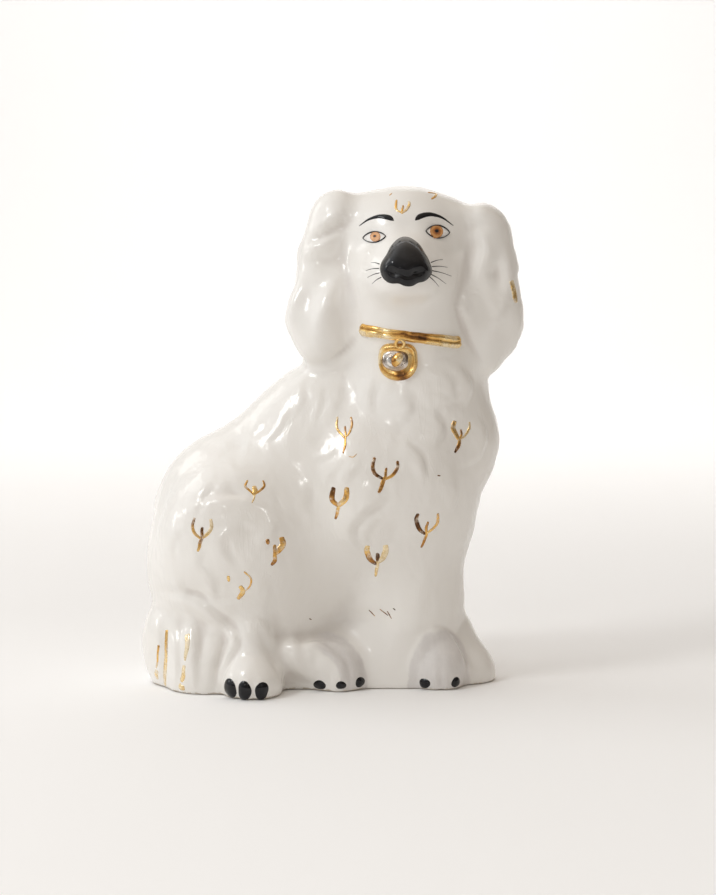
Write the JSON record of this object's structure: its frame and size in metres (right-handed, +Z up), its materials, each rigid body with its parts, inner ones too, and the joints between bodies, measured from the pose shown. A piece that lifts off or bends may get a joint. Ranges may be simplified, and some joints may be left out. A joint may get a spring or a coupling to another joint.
{
  "type": "ceramic dog figurine",
  "caption": "Seated mantel spaniel figurine in white glazed earthenware, with a gilt collar and padlock, painted face and gilt coat marks.",
  "frame": {"origin": "centre of the figurine's bounding box, on the surface that it stands on", "axes": "+Z up; -Y the display side that the face looks towards; +X the chest side, -X the rump"},
  "size_m": [0.1082, 0.0595, 0.1404],
  "materials": {
    "white_glaze": "thick glossy clear glaze over white earthenware, pooled softly in the modelling",
    "bare_base": "wiped thin glaze over white earthenware, satin",
    "gilt": "burnished bright gold lustre, brushed on by hand, thin at the stroke ends",
    "silver_lustre": "platinum lustre with a brushed grain",
    "black_enamel": "glossy black on-glaze enamel",
    "white_enamel": "glossy white on-glaze enamel",
    "amber_enamel": "glossy amber on-glaze enamel"
  },
  "bodies": {
    "root": {"body_shell": "white_glaze", "base_plate": "bare_base", "head_shell": "white_glaze", "right_ear": "white_glaze", "left_ear": "white_glaze", "tail": "white_glaze", "right_hind_paw": "white_glaze", "left_hind_paw": "white_glaze", "right_forepaw": "white_glaze", "left_forepaw": "white_glaze", "collar": "gilt", "padlock_ring": "gilt", "padlock_body": "gilt", "padlock_plate": "silver_lustre", "keyhole_bead": "gilt", "nose": "black_enamel", "eye_whites": "white_enamel", "irises": "amber_enamel", "pupils": "black_enamel", "eye_outlines": "black_enamel", "brows": "black_enamel", "whiskers": "black_enamel", "claws": "black_enamel", "coat_marks": "gilt", "head_marks": "gilt", "tail_streaks": "gilt"}
  },
  "joints": []
}
